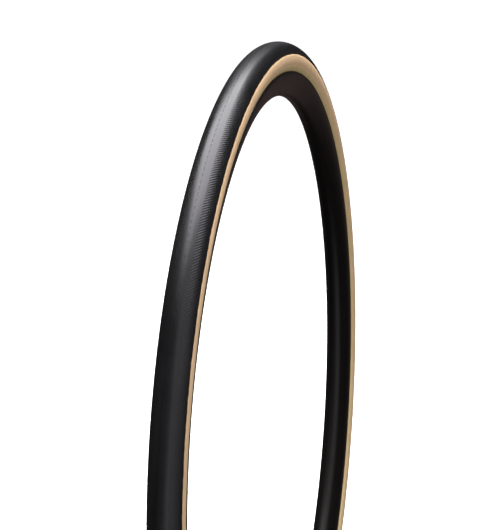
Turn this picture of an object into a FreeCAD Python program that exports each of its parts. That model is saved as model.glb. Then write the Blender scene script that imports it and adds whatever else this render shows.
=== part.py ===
"""A 30-622 bicycle tire with tan sidewalls, seated on a plain black hoop.

Every piece is a ring about the Y axis. The origin is the wheel's centre, +Z is up, and the tire
stands upright on the lowest point of its tread. Each ring is one PartDesign body: a sketch of its
cross-section, turned through a full circle. In a sketch, X is the distance from the wheel's axis
and Y is the distance from the wheel's middle plane. Angles in a cross-section start from the
outward direction, so 0 is the crown of the tread and 180 points at the axis.
"""
import FreeCAD, Part
import math
import os

import Sketcher

DOCUMENT = FreeCAD.newDocument("BicycleTire")
SIZES = DOCUMENT.addObject("Spreadsheet::Sheet", "Sizes")

# Driving dimensions: alias, value in millimetres or degrees, what it is.
DIMENSIONS = [
    ("tire_radius", 341.5, "axis to the crown of the tread"),
    ("bead_seat_radius", 311.0, "half of the 622 mm bead seat diameter"),
    ("tread_ring", 326.72, "axis to the centre of the tread's outer arc"),
    ("tread_edge_angle", 71.0, "where the tread ends"),
    ("centre_strip_angle", 24.0, "half angle of the slick centre strip"),
    ("casing_ring", 325.0, "axis to the centre of the casing's arcs"),
    ("casing_bulge", 13.6, "outer radius of the casing's section"),
    ("ply_thickness", 0.5, "one casing ply"),
    ("ply_end_angle", 151.0, "where both plies end, inside the bead"),
    ("belt_thickness", 0.5, "puncture belt"),
    ("belt_edge_angle", 36.0, "where the puncture belt ends"),
    ("seam_angle", 67.0, "where tread and sidewall meet on the casing"),
    ("skin_ring", 325.75, "axis to the centre of the sidewall's outer arc"),
    ("skin_bulge", 14.9, "half of the tire's width over the sidewalls"),
    ("skin_start_angle", 68.6, "upper edge of the sidewall skin"),
    ("skin_end_angle", 135.1, "lower edge of the sidewall skin, inside the flange"),
    ("chafer_start_angle", 134.5, "upper edge of the chafer on the casing"),
    ("chafer_tip_angle", 141.0, "inner edge of the chafer's turned-in tip"),
    ("chafer_turn_angle", 152.5, "where the tip turns to the bead toe"),
    ("chafer_thickness", 0.4, "chafer inside the casing"),
    ("bead_toe", 5.4, "middle plane to the bead's toe"),
    ("bead_heel", 9.7, "middle plane to the start of the bead's heel"),
    ("bead_width", 10.7, "middle plane to the flange's inner face"),
    ("heel_chamfer", 1.0, "height of the bead's bevelled heel"),
    ("chafer_top", 315.2, "axis to the chafer's outer upper corner"),
    ("core_angle", 143.0, "direction of the bead core from the casing's arc centre"),
    ("core_radius", 1.2, "bead core"),
    ("core_cover", 0.15, "rubber between the casing and the bead core"),
    ("rim_half_width", 12.4, "half of the hoop's width over its flanges"),
    ("flange_ring", 314.95, "axis to the centre of the flange's round top"),
    ("nose_ring", 301.4, "axis to the centre of the hoop's round inner side"),
    ("nose_radius", 7.6, "round inner side of the hoop"),
    ("rim_bore_radius", 294.07, "axis to the narrow flat inside the hoop"),
    ("rim_wall", 1.6, "wall of the hoop"),
    ("seat_inner_edge", 5.2, "middle plane to the inner edge of the bead seat"),
    ("well_radius", 308.4, "axis to the floor of the hoop's well"),
    ("well_half_width", 3.8, "half of the well's floor"),
]

MIDDLE = "0"
SIDES = [("left", -1), ("right", 1)]


def fill_sheet():
    """Write the driving dimensions into the sheet, one row each."""
    for row, (alias, value, meaning) in enumerate(DIMENSIONS, start=1):
        SIZES.set(f"A{row}", meaning)
        SIZES.set(f"B{row}", str(value))
        SIZES.setAlias(f"B{row}", alias)
    DOCUMENT.recompute()


def cell(alias):
    """The expression that reads one dimension."""
    return f"Sizes.{alias}"


def polar(ring, radius, angle, side=1):
    """The point at an angle on a circle of a section whose centre is on the middle plane."""
    across = f"{'-' if side < 0 else ''}({radius}) * sin({angle})"
    return (f"{ring} + ({radius}) * cos({angle})", across)


def offset(distance, side):
    """A distance from the middle plane, to one side of it."""
    return f"{'-' if side < 0 else ''}({distance})"


def value_of(sketch, expression):
    """The number that an expression stands for."""
    result = sketch.evalExpression(expression)
    return float(getattr(result, "Value", result))


def place(sketch, geometry, position, point, only=None):
    """Constrain one point of a sketch to a pair of expressions, or to one of the pair."""
    for kind, axis, expression in (("DistanceX", -2, point[0]), ("DistanceY", -1, point[1])):
        if only not in (None, kind):
            continue
        if expression == MIDDLE:
            sketch.addConstraint(Sketcher.Constraint("PointOnObject", geometry, position, axis))
            continue
        value = value_of(sketch, expression)
        if value < 0:
            ends = (geometry, position, -1, 1)
            expression = f"-({expression})"
        else:
            ends = (-1, 1, geometry, position)
        index = sketch.addConstraint(Sketcher.Constraint(kind, *ends, abs(value)))
        sketch.setExpression(f"Constraints[{index}]", expression)


def vector(sketch, point):
    """A sketch point at the values of two expressions."""
    return FreeCAD.Vector(value_of(sketch, point[0]), value_of(sketch, point[1]), 0)


def arc_between(centre, start, end, clockwise):
    """An arc of a circle, and which of its ends is the start of the path."""
    angles = [math.atan2(p.y - centre.y, p.x - centre.x) for p in (start, end)]
    circle = Part.Circle(centre, FreeCAD.Vector(0, 0, 1), (start - centre).Length)
    if clockwise:
        return Part.ArcOfCircle(circle, angles[1], angles[0]), (2, 1)
    return Part.ArcOfCircle(circle, angles[0], angles[1]), (1, 2)


def draw_outline(sketch, start, segments):
    """Draw a closed outline. Its last segment is a line back to the start.

    A segment is ("line", end) or ("arc", centre, end, clockwise).
    """
    here = start
    pieces = []
    for segment in segments:
        start_point = vector(sketch, here)
        if segment[0] == "line":
            end = segment[1]
            shape = Part.LineSegment(start_point, vector(sketch, end))
            pieces.append((sketch.addGeometry(shape), (1, 2)))
        else:
            centre, end = segment[1], segment[2]
            shape, ends = arc_between(vector(sketch, centre), start_point, vector(sketch, end), segment[3])
            pieces.append((sketch.addGeometry(shape), ends))
        here = end
    for (one, one_ends), (other, other_ends) in zip(pieces, pieces[1:] + pieces[:1]):
        sketch.addConstraint(Sketcher.Constraint("Coincident", one, one_ends[1], other, other_ends[0]))
    place(sketch, pieces[0][0], pieces[0][1][0], start)
    for (geometry, ends), segment in zip(pieces[:-1], segments[:-1]):
        if segment[0] == "line":
            place(sketch, geometry, ends[1], segment[1])
            continue
        centre, end = segment[1], segment[2]
        place(sketch, geometry, 3, centre)
        reach = vector(sketch, end) - vector(sketch, centre)
        place(sketch, geometry, ends[1], end, "DistanceY" if abs(reach.x) > abs(reach.y) else "DistanceX")


def draw_circle(sketch, centre, radius):
    """Draw a full circle."""
    size = value_of(sketch, radius)
    circle = Part.Circle(vector(sketch, centre), FreeCAD.Vector(0, 0, 1), size)
    geometry = sketch.addGeometry(circle)
    place(sketch, geometry, 3, centre)
    index = sketch.addConstraint(Sketcher.Constraint("Radius", geometry, size))
    sketch.setExpression(f"Constraints[{index}]", radius)


def ring(name, draw):
    """A body made by turning one sketched cross-section about the wheel's axis."""
    body = DOCUMENT.addObject("PartDesign::Body", name)
    body.Label = name
    sketch = body.newObject("Sketcher::SketchObject", f"{name}_section")
    plane = [item for item in body.Origin.OriginFeatures if item.Role == "XY_Plane"][0]
    sketch.AttachmentSupport = (plane, [""])
    sketch.MapMode = "FlatFace"
    draw(sketch)
    turned = body.newObject("PartDesign::Revolution", f"{name}_ring")
    turned.Profile = sketch
    turned.ReferenceAxis = (sketch, ["V_Axis"])
    turned.Angle = 360
    sketch.Visibility = False
    body.Tip = turned
    body.Placement = FreeCAD.Placement()
    return body


CASING_RING = cell("casing_ring")
CASING_CENTRE = (CASING_RING, MIDDLE)
CASING_OUTER = cell("casing_bulge")
CASING_MIDDLE = f"{CASING_OUTER} - {cell('ply_thickness')}"
CASING_INNER = f"{CASING_OUTER} - 2 * {cell('ply_thickness')}"
BELT_OUTER = f"{CASING_OUTER} + {cell('belt_thickness')}"
TREAD_RING = cell("tread_ring")
TREAD_CENTRE = (TREAD_RING, MIDDLE)
TREAD_OUTER = f"{cell('tire_radius')} - {TREAD_RING}"
SKIN_RING = cell("skin_ring")
SKIN_CENTRE = (SKIN_RING, MIDDLE)
SKIN_OUTER = cell("skin_bulge")


def layer(inner, outer, half_angle):
    """The section of a layer of the casing, the same on both sides of the middle plane."""

    def draw(sketch):
        low_outer = polar(CASING_RING, outer, half_angle, -1)
        high_outer = polar(CASING_RING, outer, half_angle, 1)
        high_inner = polar(CASING_RING, inner, half_angle, 1)
        low_inner = polar(CASING_RING, inner, half_angle, -1)
        draw_outline(sketch, low_outer, [
            ("arc", CASING_CENTRE, high_outer, False),
            ("line", high_inner),
            ("arc", CASING_CENTRE, low_inner, True),
            ("line", low_outer),
        ])

    return draw


def centre_strip(sketch):
    """The slick middle strip of the tread, from the belt out to the crown."""
    angle = cell("centre_strip_angle")
    low_outer = polar(TREAD_RING, TREAD_OUTER, angle, -1)
    high_outer = polar(TREAD_RING, TREAD_OUTER, angle, 1)
    high_inner = polar(CASING_RING, BELT_OUTER, angle, 1)
    low_inner = polar(CASING_RING, BELT_OUTER, angle, -1)
    draw_outline(sketch, low_outer, [
        ("arc", TREAD_CENTRE, high_outer, False),
        ("line", high_inner),
        ("arc", CASING_CENTRE, low_inner, True),
        ("line", low_outer),
    ])


def arcs_over(ring, radius, first, last, side, clockwise, count):
    """The path along one circle of a section, from one angle to another, as equal short arcs."""
    path = []
    for step in range(1, count + 1):
        angle = f"({first} + ({last} - {first}) * {step} / {count})"
        path.append(("arc", (ring, MIDDLE), polar(ring, radius, angle, side), clockwise))
    return path


def shoulder_strip(side):
    """The patterned strip of tread beside the centre strip. It steps down over the belt's edge.

    The strip is thin and strongly curved, so its long arcs are drawn as several short ones.
    """

    def draw(sketch):
        centre_angle = cell("centre_strip_angle")
        belt_angle = cell("belt_edge_angle")
        edge_angle, seam_angle = cell("tread_edge_angle"), cell("seam_angle")
        inner_top = polar(CASING_RING, BELT_OUTER, centre_angle, side)
        outer_top = polar(TREAD_RING, TREAD_OUTER, centre_angle, side)
        seam = polar(CASING_RING, CASING_OUTER, seam_angle, side)
        over_belt_edge = polar(CASING_RING, BELT_OUTER, belt_angle, side)
        draw_outline(sketch, outer_top, [
            *arcs_over(TREAD_RING, TREAD_OUTER, centre_angle, edge_angle, side, side < 0, 5),
            ("line", seam),
            *arcs_over(CASING_RING, CASING_OUTER, seam_angle, belt_angle, side, side > 0, 3),
            ("line", over_belt_edge),
            ("arc", CASING_CENTRE, inner_top, side > 0),
            ("line", outer_top),
        ])

    return draw


def sidewall_skin(side):
    """The tan skin from the tread's edge to just inside the hoop's flange."""

    def draw(sketch):
        seam = polar(CASING_RING, CASING_OUTER, cell("seam_angle"), side)
        upper = polar(SKIN_RING, SKIN_OUTER, cell("skin_start_angle"), side)
        lower = polar(SKIN_RING, SKIN_OUTER, cell("skin_end_angle"), side)
        lower_inner = polar(CASING_RING, CASING_OUTER, cell("chafer_start_angle"), side)
        draw_outline(sketch, upper, [
            ("arc", SKIN_CENTRE, lower, side < 0),
            ("line", lower_inner),
            ("arc", CASING_CENTRE, seam, side > 0),
            ("line", upper),
        ])

    return draw


def core_centre(side):
    """The middle of a bead core's round section, just outside the casing."""
    reach = f"{CASING_OUTER} + {cell('core_cover')} + {cell('core_radius')}"
    return polar(CASING_RING, reach, cell("core_angle"), side)


def bead_core(side):
    """The round hoop that holds one edge of the tire on its seat."""

    def draw(sketch):
        draw_circle(sketch, core_centre(side), cell("core_radius"))

    return draw


def chafer(side):
    """The rubbered strip round one bead: casing ends and core are buried in it."""

    def draw(sketch):
        seat = cell("bead_seat_radius")
        tip_radius = f"{CASING_INNER} - {cell('chafer_thickness')}"
        end = cell("ply_end_angle")
        tip = cell("chafer_tip_angle")
        skin_lower = polar(SKIN_RING, SKIN_OUTER, cell("skin_end_angle"), side)
        casing_top = polar(CASING_RING, CASING_OUTER, cell("chafer_start_angle"), side)
        draw_outline(sketch, casing_top, [
            ("arc", CASING_CENTRE, polar(CASING_RING, CASING_OUTER, end, side), side < 0),
            ("line", polar(CASING_RING, CASING_INNER, end, side)),
            ("arc", CASING_CENTRE, polar(CASING_RING, CASING_INNER, tip, side), side > 0),
            ("line", polar(CASING_RING, tip_radius, tip, side)),
            ("arc", CASING_CENTRE, polar(CASING_RING, tip_radius, cell("chafer_turn_angle"), side), side < 0),
            ("line", (seat, offset(cell("bead_toe"), side))),
            ("line", (seat, offset(cell("bead_heel"), side))),
            ("line", (f"{seat} + {cell('heel_chamfer')}", offset(cell("bead_width"), side))),
            ("line", (cell("chafer_top"), offset(cell("bead_width"), side))),
            ("line", skin_lower),
            ("line", casing_top),
        ])
        draw_circle(sketch, core_centre(side), cell("core_radius"))

    return draw


def rim_hoop(sketch):
    """A hollow hoop: two flanges, bead seats and a well outside, one rounded wall inside."""
    width = cell("rim_half_width")
    flange = cell("flange_ring")
    wall = cell("rim_wall")
    nose_ring = cell("nose_ring")
    nose = cell("nose_radius")
    bead = cell("bead_width")
    seat = cell("bead_seat_radius")
    seat_edge = cell("seat_inner_edge")
    well = cell("well_radius")
    well_half = cell("well_half_width")
    flat = cell("rim_bore_radius")
    flat_half = f"sqrt({nose}^2 - ({nose_ring} - {flat})^2)"
    # The side arc is tangent to the nose arc, and parallel to the middle plane at the flange.
    drop = f"({flange} - {nose_ring})"
    side_radius = f"(({drop}^2 + {width}^2 - {nose}^2) / (2 * ({width} - {nose})))"
    meet = f"(180 deg - atan(({side_radius} - {width}) / {drop}))"
    chamber_top = f"{seat} - {wall}"
    chamber_reach = f"sqrt(({side_radius} - {wall})^2 - ({flange} - {chamber_top})^2)"
    chamber_half = f"{width} - {side_radius} + {chamber_reach}"
    nose_centre = (nose_ring, MIDDLE)
    side_centre = {side: (flange, offset(f"{width} - {side_radius}", side)) for side in (-1, 1)}
    flange_top = {side: (flange, offset(f"({width} + {bead}) / 2", side)) for side in (-1, 1)}
    draw_outline(sketch, (flat, offset(flat_half, -1)), [
        ("arc", nose_centre, polar(nose_ring, nose, meet, -1), False),
        ("arc", side_centre[-1], (flange, offset(width, -1)), False),
        ("arc", flange_top[-1], (flange, offset(bead, -1)), False),
        ("line", (seat, offset(bead, -1))),
        ("line", (seat, offset(seat_edge, -1))),
        ("line", (well, offset(well_half, -1))),
        ("line", (well, offset(well_half, 1))),
        ("line", (seat, offset(seat_edge, 1))),
        ("line", (seat, offset(bead, 1))),
        ("line", (flange, offset(bead, 1))),
        ("arc", flange_top[1], (flange, offset(width, 1)), False),
        ("arc", side_centre[1], polar(nose_ring, nose, meet, 1), False),
        ("arc", nose_centre, (flat, offset(flat_half, 1)), False),
        ("line", (flat, offset(flat_half, -1))),
    ])
    chamber_nose = f"{nose} - {wall}"
    chamber_well = (f"{well} - {wall}", offset(well_half, 1))
    draw_outline(sketch, chamber_well, [
        ("line", (chamber_top, offset(seat_edge, 1))),
        ("line", (chamber_top, offset(chamber_half, 1))),
        ("arc", side_centre[1], polar(nose_ring, chamber_nose, meet, 1), False),
        ("arc", nose_centre, polar(nose_ring, chamber_nose, meet, -1), False),
        ("arc", side_centre[-1], (chamber_top, offset(chamber_half, -1)), False),
        ("line", (chamber_top, offset(seat_edge, -1))),
        ("line", (f"{well} - {wall}", offset(well_half, -1))),
        ("line", chamber_well),
    ])


def build():
    """Make every piece of the tire and the hoop."""
    belt_edge = cell("belt_edge_angle")
    ply_end = cell("ply_end_angle")
    pieces = [
        ring("tread_centre", centre_strip),
        ring("puncture_belt", layer(CASING_OUTER, BELT_OUTER, belt_edge)),
        ring("casing_ply_outer", layer(CASING_MIDDLE, CASING_OUTER, ply_end)),
        ring("casing_ply_inner", layer(CASING_INNER, CASING_MIDDLE, ply_end)),
    ]
    for word, side in SIDES:
        pieces.append(ring(f"tread_shoulder_{word}", shoulder_strip(side)))
        pieces.append(ring(f"sidewall_{word}", sidewall_skin(side)))
        pieces.append(ring(f"bead_core_{word}", bead_core(side)))
        pieces.append(ring(f"chafer_{word}", chafer(side)))
    pieces.append(ring("rim_hoop", rim_hoop))
    return pieces


def check(pieces):
    """Stop if any object failed, or a piece has no sound solid."""
    for item in DOCUMENT.Objects:
        if "Invalid" in item.State or "Error" in item.State:
            raise RuntimeError(f"{item.Name} failed: {item.State}")
    for piece in pieces:
        if piece.Shape.isNull() or not piece.Shape.isValid() or len(piece.Shape.Solids) != 1:
            raise RuntimeError(f"{piece.Label} is not one sound solid")


def write(pieces):
    """Write one STEP file for each piece."""
    os.makedirs("parts", exist_ok=True)
    for piece in pieces:
        piece.Shape.exportStep(os.path.join("parts", f"{piece.Label}.step"))
        box = piece.Shape.BoundBox
        print(f"{piece.Label}: {piece.Shape.Volume / 1000:.1f} cm3, "
              f"{box.XLength:.2f} x {box.YLength:.2f} x {box.ZLength:.2f} mm")


fill_sheet()
PIECES = build()
DOCUMENT.recompute()
check(PIECES)
write(PIECES)
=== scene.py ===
"""The looks of a 30-622 bicycle tire that stands upright on a plain black hoop.

Everything is a ring about the Y axis, so each visible piece is one closed mesh: a cross-section
carried round the axis, and shaped on the way where the real piece isn't plain. In a section,
rho is the distance from the wheel's axis and y the distance from its middle plane. Section angles
are in degrees from the outward direction: 0 is the crown of the tread, 180 points at the axis.
Theta is the angle round the wheel, in radians. All lengths are in metres.
"""
import math

import bpy
import numpy as np
from mathutils import Matrix, Vector


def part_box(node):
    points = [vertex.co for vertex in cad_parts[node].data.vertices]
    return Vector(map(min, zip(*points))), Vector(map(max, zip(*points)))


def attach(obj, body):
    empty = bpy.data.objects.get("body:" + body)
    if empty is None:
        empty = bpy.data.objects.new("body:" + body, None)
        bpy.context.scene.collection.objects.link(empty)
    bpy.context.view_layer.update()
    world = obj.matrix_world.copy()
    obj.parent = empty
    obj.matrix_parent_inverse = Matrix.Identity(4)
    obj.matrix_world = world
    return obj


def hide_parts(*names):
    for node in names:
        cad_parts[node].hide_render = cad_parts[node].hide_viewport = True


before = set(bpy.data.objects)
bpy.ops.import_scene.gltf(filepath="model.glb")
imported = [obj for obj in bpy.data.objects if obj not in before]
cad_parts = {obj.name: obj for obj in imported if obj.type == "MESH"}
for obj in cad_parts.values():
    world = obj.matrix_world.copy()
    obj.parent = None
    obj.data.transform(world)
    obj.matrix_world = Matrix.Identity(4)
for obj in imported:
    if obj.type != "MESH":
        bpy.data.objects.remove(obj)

MM = 0.001
TURN = 2 * math.pi
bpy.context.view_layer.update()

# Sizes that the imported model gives.
TIRE_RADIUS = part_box("tread_centre")[1].z
SKIN_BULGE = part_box("sidewall_right")[1].y
CASING_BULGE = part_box("casing_ply_outer")[1].y
RIM_HALF_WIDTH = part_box("rim_hoop")[1].y
FLOOR_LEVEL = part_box("tread_centre")[0].z

# The section's arcs: a ring is the distance of an arc's centre from the wheel's axis. The layer
# radius is the one at which the hidden cloth's threads are counted.
CROWN_ARC = 14.78 * MM
TREAD_RING = TIRE_RADIUS - CROWN_ARC
SKIN_RING = 325.75 * MM
CASING_RING = 325.0 * MM
BELT = 0.55 * MM
LAYER_RADIUS = 330.0 * MM

# Section angles where the centre strip meets the shoulders, and where the tread's lip ends.
STRIP_ANGLE = 22.0
LIP_ANGLE = 72.0

# The dashed moulding seam on the crown. Steps are fractions of the distance between two dashes.
SEAM_DASHES = 340
SEAM_STEPS = (0.0, 0.02, 0.3, 0.58, 0.6)
SEAM_SUNK = (0.0, 1.0, 1.0, 1.0, 0.0)
SEAM_DEPTH = 0.3 * MM
SEAM_HALF_ANGLE = 0.9

# The shoulders' slanting ribs. The band starts shallow, gets deep, and fades before the lip.
RIB_COUNT = 845
RIB_STEPS = (0.0, 0.2, 0.5, 0.7)
RIB_RAISED = (0.0, 1.0, 1.0, 0.0)
RIB_DEPTH = 0.21 * MM
RIB_SLANT = 0.88
BAND_START, BAND_DEEP, BAND_FADE, BAND_END = 22.5, 36.5, 62.0, 65.0
BAND_DEPTHS = (0.4, 1.0, 1.0, 0.0)

# The tread's lip: how far its end wanders in degrees, and the depths of its two corners.
LIP_WANDER = 0.9
LIP_WAVES = (37, 61, 94, 143, 211, 307)
LIP_CORNERS = np.array([0.16, 0.75]) * MM

# The tan skin: how far it lies below its full bulge, from under the tread's lip to the hoop.
SKIN_STEPS = 1440
SKIN_DROP_ANGLES = (69.0, 71.0, 76.0, 110.5, 112.2, 135.1)
SKIN_DROPS = (0.7 * MM, 0.12 * MM, 0.10 * MM, 0.16 * MM, 0.0, 0.0)
SKIN_WAVINESS = 0.05 * MM
SKIN_WAVES = (5, 9, 14, 23)
SPLICE_THETA = math.radians(71.0)
SPLICE_HALF_WIDTH = 1.6 * MM / SKIN_RING
SPLICE_HEIGHT = 0.12 * MM
TURN_UP_TOP = 320.2 * MM

# The hoop: the seats that carry the tire, the flanges beside them and the nose that faces the axis.
SEAT_RADIUS = 311.0 * MM
SEAT_EDGE = 5.2 * MM
WELL_RADIUS, WELL_HALF_WIDTH = 308.4 * MM, 3.8 * MM
FLANGE_RING, FLANGE_INSIDE = 314.95 * MM, 10.7 * MM
NOSE_RING, NOSE_ARC = 301.1 * MM, 7.6 * MM
HOOP_STEPS = 1080

# Colours, as linear (red, green, blue). Each pair is the darker and the lighter patches.
TREAD_COLOURS = (0.0045, 0.0045, 0.0050), (0.0075, 0.0075, 0.0082)
TAN_COLOURS = (0.690, 0.465, 0.275), (0.770, 0.530, 0.325)
TURN_UP_COLOURS = (0.700, 0.525, 0.270), (0.770, 0.590, 0.315)
SPLICE_COLOURS = (0.520, 0.400, 0.150), (0.600, 0.470, 0.190)
HOOP_COLOURS = (0.0024, 0.0015, 0.0014), (0.0036, 0.0024, 0.0022)
CASING_COLOURS = (0.22, 0.15, 0.085), (0.50, 0.36, 0.21)
BELT_COLOURS = (0.030, 0.030, 0.028), (0.09, 0.09, 0.085)
BEAD_COLOURS = (0.30, 0.22, 0.04), (0.60, 0.48, 0.14)
WHITE = (1.0, 1.0, 1.0)
DUSKY_PINK = (1.0, 0.66, 0.62)

LEFT, RIGHT = -1, 1
SIDE_WORDS = {LEFT: "left", RIGHT: "right"}


def smooth_noise(theta, waves, seed):
    """A closed wavy line round the ring, about -1 to 1, made of a few whole-number waves."""
    draw = np.random.default_rng(seed)
    total = np.zeros_like(theta)
    for wave in waves:
        total += draw.uniform(0.4, 1.0) * np.sin(wave * theta + draw.uniform(0, TURN))
    return total / math.sqrt(len(waves))


def ring_mesh(name, theta, rho, y):
    """A closed ring from three grids, with a row for each step round the wheel."""
    theta, rho, y = np.broadcast_arrays(theta, rho, y)
    around, across = rho.shape
    points = np.stack([rho * np.cos(theta), y, rho * np.sin(theta)], axis=-1).reshape(-1, 3)
    here = np.arange(around * across).reshape(around, across)
    ahead = np.roll(here, -1, axis=0)
    corners = [here, np.roll(here, -1, axis=1), np.roll(ahead, -1, axis=1), ahead]
    faces = np.stack(corners, axis=-1).reshape(-1, 4)
    mesh = bpy.data.meshes.new(name)
    mesh.from_pydata(points.tolist(), [], faces.tolist())
    mesh.validate()
    piece = bpy.data.objects.new(name, mesh)
    bpy.context.collection.objects.link(piece)
    face_outwards(mesh)
    mesh.polygons.foreach_set("use_smooth", np.ones(len(mesh.polygons), dtype=bool))
    return piece


def face_outwards(mesh):
    """Turn the faces over if the closed mesh is inside out."""
    mesh.calc_loop_triangles()
    corners = np.empty(len(mesh.loop_triangles) * 3, dtype=np.int32)
    mesh.loop_triangles.foreach_get("vertices", corners)
    where = np.empty(len(mesh.vertices) * 3)
    mesh.vertices.foreach_get("co", where)
    a, b, c = where.reshape(-1, 3)[corners].reshape(-1, 3, 3).transpose(1, 0, 2)
    if np.einsum("ij,ij->i", a, np.cross(b, c)).sum() < 0:
        mesh.flip_normals()


def steps_round(count, fractions=(0.0,)):
    """Angles round the wheel: count equal tiles, each with steps at these fractions of a tile."""
    tile = np.arange(count)[:, None] + np.array(fractions)[None, :]
    return tile.reshape(-1, 1) * TURN / count


def on_arc(ring, radius, angle):
    """rho and y of a point of a section arc."""
    angle = np.radians(angle)
    return ring + radius * np.cos(angle), radius * np.sin(angle)


def join_rows(first, *more):
    """Section points side by side. A single row stands for the same points all the way round."""
    steps = first.shape[0]
    return np.hstack([first] + [np.broadcast_to(part, (steps, part.shape[-1])) for part in more])


def finish_piece(piece, node, material, crease=None):
    """Give a piece its body and its material, and hide the node that it stands for."""
    piece.data.materials.append(material)
    if crease is not None:
        piece.data.set_sharp_from_angle(angle=math.radians(crease))
    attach(piece, "root")
    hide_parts(node)


# ---- materials -------------------------------------------------------------------------------

class Nodes:
    """A short way to write a material's nodes."""

    def __init__(self, name):
        self.material = bpy.data.materials.new(name)
        self.material.use_nodes = True
        self.tree = self.material.node_tree
        self.shader = self.tree.nodes["Principled BSDF"]

    def add(self, kind, **settings):
        node = self.tree.nodes.new(kind)
        for key, value in settings.items():
            setattr(node, key, value)
        return node

    def link(self, source, target):
        self.tree.links.new(source, target)

    def set(self, name, value):
        """Set an input of the shader to a constant."""
        self.shader.inputs[name].default_value = value

    def feed(self, name, source):
        """Link an output to an input of the shader."""
        self.link(source, self.shader.inputs[name])

    def math(self, operation, *values):
        node = self.add("ShaderNodeMath", operation=operation)
        for socket, value in zip(node.inputs, values):
            if isinstance(value, bpy.types.NodeSocket):
                self.link(value, socket)
            else:
                socket.default_value = value
        return node.outputs[0]

    def noise(self, vector, scale, detail, roughness):
        node = self.add("ShaderNodeTexNoise")
        node.inputs["Scale"].default_value = scale
        node.inputs["Detail"].default_value = detail
        node.inputs["Roughness"].default_value = roughness
        self.link(vector, node.inputs["Vector"])
        return node.outputs["Fac"]

    def blend(self, factor, start, end, colours):
        """A colour that goes from the first of a pair to the second as a factor rises."""
        node = self.add("ShaderNodeValToRGB")
        for element, position, colour in zip(node.color_ramp.elements, (start, end), colours):
            element.position = position
            element.color = (*colour, 1.0)
        self.link(factor, node.inputs["Fac"])
        return node.outputs["Color"]

    def mix(self, factor, first, second):
        """A colour between two colour outputs."""
        node = self.add("ShaderNodeMix", data_type="RGBA")
        self.link(factor, node.inputs[0])
        self.link(first, node.inputs[6])
        self.link(second, node.inputs[7])
        return node.outputs[2]

    def stretched(self, angle, across, scale, ratio):
        """Coordinates for a grain that runs round the wheel, drawn out by a ratio."""
        node = self.add("ShaderNodeCombineXYZ")
        self.link(self.math("MULTIPLY", angle, scale * TIRE_RADIUS / ratio), node.inputs[0])
        self.link(self.math("MULTIPLY", across, scale), node.inputs[1])
        return node.outputs[0]

    def bump(self, height, strength, distance):
        node = self.add("ShaderNodeBump")
        node.inputs["Strength"].default_value = strength
        node.inputs["Distance"].default_value = distance
        self.link(height, node.inputs["Height"])
        self.feed("Normal", node.outputs["Normal"])

    def coords(self):
        """The object's own coordinates."""
        return self.add("ShaderNodeTexCoord").outputs["Object"]

    def polar(self, coords):
        """The same place as y, the distance from the wheel's axis, and the angle round it."""
        split = self.add("ShaderNodeSeparateXYZ")
        self.link(coords, split.inputs[0])
        x, y, z = split.outputs
        squares = self.math("ADD", self.math("MULTIPLY", x, x), self.math("MULTIPLY", z, z))
        return y, self.math("SQRT", squares), self.math("ARCTAN2", z, x)


def tread_rubber(name, rough, shine):
    """Black rubber, finely grained, a little uneven in tone and shine."""
    m = Nodes(name)
    coords = m.coords()
    patches = m.noise(coords, 28.0, 4.0, 0.6)
    grain = m.noise(coords, 2600.0, 2.0, 0.5)
    m.feed("Base Color", m.blend(patches, 0.3, 0.7, TREAD_COLOURS))
    m.feed("Roughness", m.math("MULTIPLY_ADD", patches, 0.10, rough))
    m.set("Specular IOR Level", shine)
    m.set("Specular Tint", (0.96, 0.93, 1.0, 1.0))
    m.bump(grain, 0.12, 0.05 * MM)
    return m.material


def sidewall_rubber(name):
    """Tan rubber over threads. Near the bead, over the turned-up ply, it is yellower."""
    m = Nodes(name)
    coords = m.coords()
    _, radius, angle = m.polar(coords)
    mottle = m.noise(coords, 60.0, 5.0, 0.6)
    wobble = m.math("MULTIPLY", m.math("SUBTRACT", mottle, 0.5), 1.2 * MM)
    height = m.math("ADD", radius, wobble)
    zone = m.math("MULTIPLY", m.math("SUBTRACT", height, TURN_UP_TOP), 1 / (0.5 * MM))
    zone = m.math("MINIMUM", m.math("MAXIMUM", zone, 0.0), 1.0)
    inner = m.blend(mottle, 0.25, 0.75, TURN_UP_COLOURS)
    outer = m.blend(mottle, 0.25, 0.75, TAN_COLOURS)
    off_splice = m.math("ABSOLUTE", m.math("SUBTRACT", angle, SPLICE_THETA))
    on_splice = m.math("LESS_THAN", off_splice, 0.5 * SPLICE_HALF_WIDTH)
    line = m.blend(mottle, 0.25, 0.75, SPLICE_COLOURS)
    m.feed("Base Color", m.mix(on_splice, m.mix(zone, inner, outer), line))
    m.set("Roughness", 0.75)
    m.set("Specular IOR Level", 0.15)
    threads = m.noise(m.stretched(angle, radius, 900.0, 3.0), 1.0, 2.0, 0.5)
    m.bump(threads, 0.10, 0.04 * MM)
    return m.material


def hoop_finish(name):
    """Satin black metal with a faint brown cast and fine turned lines round it."""
    m = Nodes(name)
    coords = m.coords()
    y, radius, angle = m.polar(coords)
    patches = m.noise(coords, 14.0, 3.0, 0.55)
    m.feed("Base Color", m.blend(patches, 0.3, 0.7, HOOP_COLOURS))
    m.feed("Roughness", m.math("MULTIPLY_ADD", patches, 0.10, 0.38))
    m.set("Specular IOR Level", 0.30)
    lines = m.stretched(angle, m.math("ADD", radius, y), 1500.0, 60.0)
    m.bump(m.noise(lines, 1.0, 3.0, 0.6), 0.06, 0.1 * MM)
    return m.material


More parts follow.
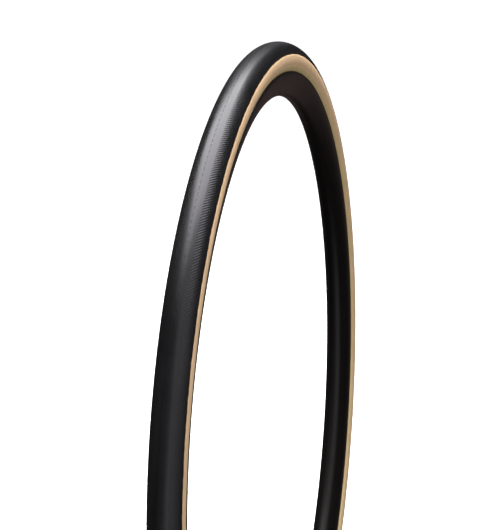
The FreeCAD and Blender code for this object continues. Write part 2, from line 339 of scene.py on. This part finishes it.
def woven_cloth(name, colours, threads_per_metre):
    """Plain cloth: two sets of threads that cross, for the layers inside the tire."""
    m = Nodes(name)
    y, _, angle = m.polar(m.coords())
    round_the_wheel = threads_per_metre * LAYER_RADIUS * TURN
    along = m.math("SINE", m.math("MULTIPLY", angle, round_the_wheel))
    across = m.math("SINE", m.math("MULTIPLY", y, threads_per_metre * TURN))
    weave = m.math("MULTIPLY_ADD", m.math("MULTIPLY", along, across), 0.5, 0.5)
    m.feed("Base Color", m.blend(weave, 0.0, 1.0, colours))
    m.set("Roughness", 0.85)
    m.bump(weave, 0.5, 0.2 * MM)
    return m.material


# ---- pieces ----------------------------------------------------------------------------------

def centre_strip(material):
    """The slick strip, with the dashed moulding seam sunk along its crown."""
    theta = steps_round(SEAM_DASHES, SEAM_STEPS)
    in_dash = np.tile(SEAM_SUNK, SEAM_DASHES)[:, None]
    seam = [SEAM_HALF_ANGLE, SEAM_HALF_ANGLE + 0.3, 2.6]
    one_side = np.concatenate([seam, np.linspace(4.5, STRIP_ANGLE, 6)])
    outer = np.concatenate([-one_side[::-1], one_side])
    sunk = (np.abs(outer) <= SEAM_HALF_ANGLE) * in_dash * SEAM_DEPTH
    rho, y = on_arc(TREAD_RING, CROWN_ARC - sunk, outer)
    inner = np.linspace(STRIP_ANGLE, -STRIP_ANGLE, 5)
    under_rho, under_y = on_arc(CASING_RING, CASING_BULGE + BELT, inner)
    piece = ring_mesh("tread_centre_strip", theta, join_rows(rho, under_rho), join_rows(y, under_y))
    finish_piece(piece, "tread_centre", material, crease=35)


def shoulder(side, material):
    """One patterned shoulder: slanting ribs, then a smooth edge with a slightly ragged lip."""
    theta = steps_round(RIB_COUNT, RIB_STEPS)
    rib = np.tile(RIB_RAISED, RIB_COUNT)[:, None]
    start = [STRIP_ANGLE, BAND_START, BAND_START + 3.0]
    ribbed = np.linspace(BAND_START + 6.5, BAND_FADE, 8)
    angles = np.concatenate([start, ribbed, [BAND_END, 68.0, 70.5]])
    sunk = np.interp(angles, [BAND_START, BAND_DEEP, BAND_FADE, BAND_END], BAND_DEPTHS)
    depth = RIB_DEPTH * sunk * (1 - rib)
    lip = LIP_WANDER * smooth_noise(theta, LIP_WAVES, 5 + side)
    ease = np.clip((angles - BAND_END) / (LIP_ANGLE - BAND_END), 0, 1)
    rho, y = on_arc(TREAD_RING, CROWN_ARC - depth, angles + lip * ease)
    edge_rho, edge_y = on_arc(TREAD_RING, CROWN_ARC - LIP_CORNERS, LIP_ANGLE + lip)
    under_rho, under_y = on_arc(CASING_RING, CASING_BULGE, np.array([66.0, 50.0, 37.0]))
    over_rho, over_y = on_arc(CASING_RING, CASING_BULGE + BELT, np.array([34.0, STRIP_ANGLE]))
    rho = join_rows(rho, edge_rho, under_rho, over_rho)
    y = join_rows(y, edge_y, under_y, over_y)
    reach = np.clip(angles - BAND_START, 0, None)
    reach = np.pad(reach, (0, rho.shape[1] - len(angles)), mode="edge")
    slant = RIB_SLANT * np.radians(reach) * CROWN_ARC / TIRE_RADIUS
    word = SIDE_WORDS[side]
    piece = ring_mesh(f"tread_shoulder_{word}_ribs", theta - slant, rho, side * y)
    finish_piece(piece, f"tread_shoulder_{word}", material, crease=35)


def sidewall(side, material):
    """The tan skin: from under the tread's lip, over the turned-up ply, down to the hoop."""
    theta = steps_round(SKIN_STEPS)
    splice = SPLICE_HEIGHT * np.exp(-((theta - SPLICE_THETA) / SPLICE_HALF_WIDTH) ** 2)
    under_lip, bulge = [66.0, 69.0, 72.0, 76.0], np.arange(81.0, 106.0, 6.0)
    turn_up, foot = [109.5, 111.0, 112.0, 113.5], np.arange(118.0, 129.0, 5.0)
    angles = np.concatenate([under_lip, bulge, turn_up, foot, [132.0, 135.1]])
    drop = np.interp(angles, SKIN_DROP_ANGLES, SKIN_DROPS)
    sway = SKIN_WAVINESS * smooth_noise(theta, SKIN_WAVES, 11 + side) + splice
    rho, y = on_arc(SKIN_RING, SKIN_BULGE - drop + sway, angles)
    y = np.minimum(y, SKIN_BULGE)
    inner_rho, inner_y = on_arc(CASING_RING, CASING_BULGE, np.array([134.5, 110.0, 88.0, 67.0]))
    word = SIDE_WORDS[side]
    rho, y = join_rows(rho, inner_rho), join_rows(y, inner_y)
    piece = ring_mesh(f"sidewall_{word}_skin", theta, rho, side * y)
    finish_piece(piece, f"sidewall_{word}", material)


def arc_points(ring, middle, radius, first, last, count, closed):
    """Section points on an arc about (ring, middle), with or without its last point."""
    turns = np.linspace(first, last, count)
    return [(ring + radius * math.cos(turn), middle + radius * math.sin(turn))
            for turn in (turns if closed else turns[:-1])]


def hoop(material):
    """The hoop: round-topped flanges and one rounded inner wall, closed by its seats and well."""
    drop = FLANGE_RING - NOSE_RING
    side_arc = (drop ** 2 + RIM_HALF_WIDTH ** 2 - NOSE_ARC ** 2) / (2 * (RIM_HALF_WIDTH - NOSE_ARC))
    meet = math.pi - math.atan((side_arc - RIM_HALF_WIDTH) / drop)
    top = (RIM_HALF_WIDTH - FLANGE_INSIDE) / 2
    up, down = math.pi / 2, -math.pi / 2
    half = arc_points(NOSE_RING, 0.0, NOSE_ARC, math.pi, meet, 9, closed=False)
    half += arc_points(FLANGE_RING, RIM_HALF_WIDTH - side_arc, side_arc, meet, up, 11, closed=False)
    half += arc_points(FLANGE_RING, FLANGE_INSIDE + top, top, up, down, 9, closed=True)
    half += [(SEAT_RADIUS, FLANGE_INSIDE), (SEAT_RADIUS, SEAT_EDGE), (WELL_RADIUS, WELL_HALF_WIDTH)]
    other = [(rho, -y) for rho, y in reversed(half[1:])]
    rho, y = np.array(half + other).T[:, None, :]
    piece = ring_mesh("hoop_shell", steps_round(HOOP_STEPS), rho, y)
    finish_piece(piece, "rim_hoop", material, crease=50)


def dress_hidden_nodes():
    """Give the layers inside the tire, which stay as they were packed, their own materials."""
    casing = woven_cloth("casing_cloth", CASING_COLOURS, 1600)
    belt = woven_cloth("belt_cloth", BELT_COLOURS, 1000)
    cord = woven_cloth("bead_cord_bundle", BEAD_COLOURS, 2200)
    black = tread_rubber("chafer_black", 0.55, 0.3)
    dressed = {"casing_ply_outer": casing, "casing_ply_inner": casing, "puncture_belt": belt}
    for word in SIDE_WORDS.values():
        dressed[f"bead_core_{word}"] = cord
        dressed[f"chafer_{word}"] = black
    for node, material in dressed.items():
        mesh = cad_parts[node].data
        mesh.materials.clear()
        mesh.materials.append(material)


# ---- stage -----------------------------------------------------------------------------------

# A long lens, ahead of the wheel and a little to its left, looks down on its upper half.
CAMERA_PLACE = Vector((-1.80414, -0.43350, 0.55305))
CAMERA_LOOK = Vector((0.94780, 0.23636, -0.21403))
LENS, SENSOR = 146.632, 36.0
CAMERA_NEAR, CAMERA_FAR = 0.05, 100.0

SET_RADIUS = 30.0
SET_SIDES = 48
SURROUND_STRENGTH = 0.03


def make_camera():
    """The camera, held level."""
    data = bpy.data.cameras.new("camera")
    data.sensor_width = SENSOR
    data.lens = LENS
    data.clip_start, data.clip_end = CAMERA_NEAR, CAMERA_FAR
    camera = bpy.data.objects.new("camera", data)
    bpy.context.collection.objects.link(camera)
    back = -CAMERA_LOOK.normalized()
    right = Vector((0.0, 0.0, 1.0)).cross(back).normalized()
    turned = Matrix((right, back.cross(right), back)).transposed()
    camera.matrix_world = Matrix.Translation(CAMERA_PLACE) @ turned.to_4x4()
    bpy.context.scene.camera = camera


def direction(azimuth, elevation):
    """A unit vector. Azimuth 0 points along -Y and 90 along +X; elevation is above the horizon."""
    a, e = math.radians(azimuth), math.radians(elevation)
    return Vector((math.sin(a) * math.cos(e), -math.cos(a) * math.cos(e), math.sin(e)))


def softbox(name, azimuth, elevation, distance, size, watts, colour=WHITE):
    """A rectangular lamp that faces the wheel's centre."""
    lamp = bpy.data.lights.new(name, "AREA")
    lamp.shape = "RECTANGLE"
    lamp.size, lamp.size_y = size
    lamp.energy = watts
    lamp.color = colour
    holder = bpy.data.objects.new(name, lamp)
    bpy.context.collection.objects.link(holder)
    toward = direction(azimuth, elevation)
    holder.location = toward * distance
    holder.rotation_mode = "QUATERNION"
    holder.rotation_quaternion = toward.to_track_quat("Z", "Y")


def stage_sheet(name, points, faces, paint):
    """A sheet of the set that the camera sees, and that neither lights nor mirrors in the piece."""
    mesh = bpy.data.meshes.new(name)
    mesh.from_pydata(points, [], faces)
    mesh.materials.append(paint)
    sheet = bpy.data.objects.new(name, mesh)
    bpy.context.collection.objects.link(sheet)
    sheet.visible_diffuse = False
    sheet.visible_glossy = False
    sheet.visible_shadow = False


def set_paint():
    """Matt white that glows a little by itself."""
    m = Nodes("set_paint")
    m.set("Base Color", (0.86, 0.86, 0.86, 1.0))
    m.set("Roughness", 1.0)
    m.set("Specular IOR Level", 0.0)
    m.set("Emission Color", (1.0, 1.0, 1.0, 1.0))
    m.set("Emission Strength", 1.0)
    return m.material


def make_set():
    """A plain pale round floor with a wall about it."""
    paint = set_paint()
    turns = [TURN * step / SET_SIDES for step in range(SET_SIDES)]
    low = [(SET_RADIUS * math.cos(turn), SET_RADIUS * math.sin(turn), FLOOR_LEVEL) for turn in turns]
    high = [(x, y, z + SET_RADIUS) for x, y, z in low]
    following = [(step + 1) % SET_SIDES for step in range(SET_SIDES)]
    wall = [(a, b, b + SET_SIDES, a + SET_SIDES) for a, b in enumerate(following)]
    stage_sheet("floor", low, [tuple(range(SET_SIDES))], paint)
    stage_sheet("backdrop", low + high, wall, paint)


def make_surround():
    """A dim, even light from all round."""
    world = bpy.data.worlds.new("surround")
    bpy.context.scene.world = world
    world.use_nodes = True
    surround = world.node_tree.nodes["Background"]
    surround.inputs["Color"].default_value = (1.0, 1.0, 1.0, 1.0)
    surround.inputs["Strength"].default_value = SURROUND_STRENGTH


def make_lamps():
    """The studio lamps: one large one overhead, and weak ones low and to the sides."""
    softbox("overhead", 118, 82, distance=2.3, size=(2.6, 2.6), watts=185)
    softbox("left_wall", 320, 28, distance=1.6, size=(2.1, 1.7), watts=10)
    softbox("left_low", 305, -22, distance=2.0, size=(2.2, 2.0), watts=11)
    softbox("right_wall", 208, 6, distance=2.3, size=(1.3, 1.2), watts=1)
    softbox("camera_side_low", 268, -8, distance=2.6, size=(2.8, 3.6), watts=6)
    softbox("far_low", 90, -16, distance=2.3, size=(2.0, 1.4), watts=1.8, colour=DUSKY_PINK)


def main():
    """Build every visible piece, dress the rest, and set the stage."""
    slick = tread_rubber("tread_rubber_slick", 0.30, 0.45)
    ribbed = tread_rubber("tread_rubber_ribbed", 0.32, 0.38)
    tan = sidewall_rubber("sidewall_rubber_tan")
    centre_strip(slick)
    for side in (LEFT, RIGHT):
        shoulder(side, ribbed)
        sidewall(side, tan)
    hoop(hoop_finish("hoop_satin_black"))
    dress_hidden_nodes()
    make_camera()
    make_set()
    make_surround()
    make_lamps()
    bpy.context.scene.view_settings.view_transform = "Standard"


main()
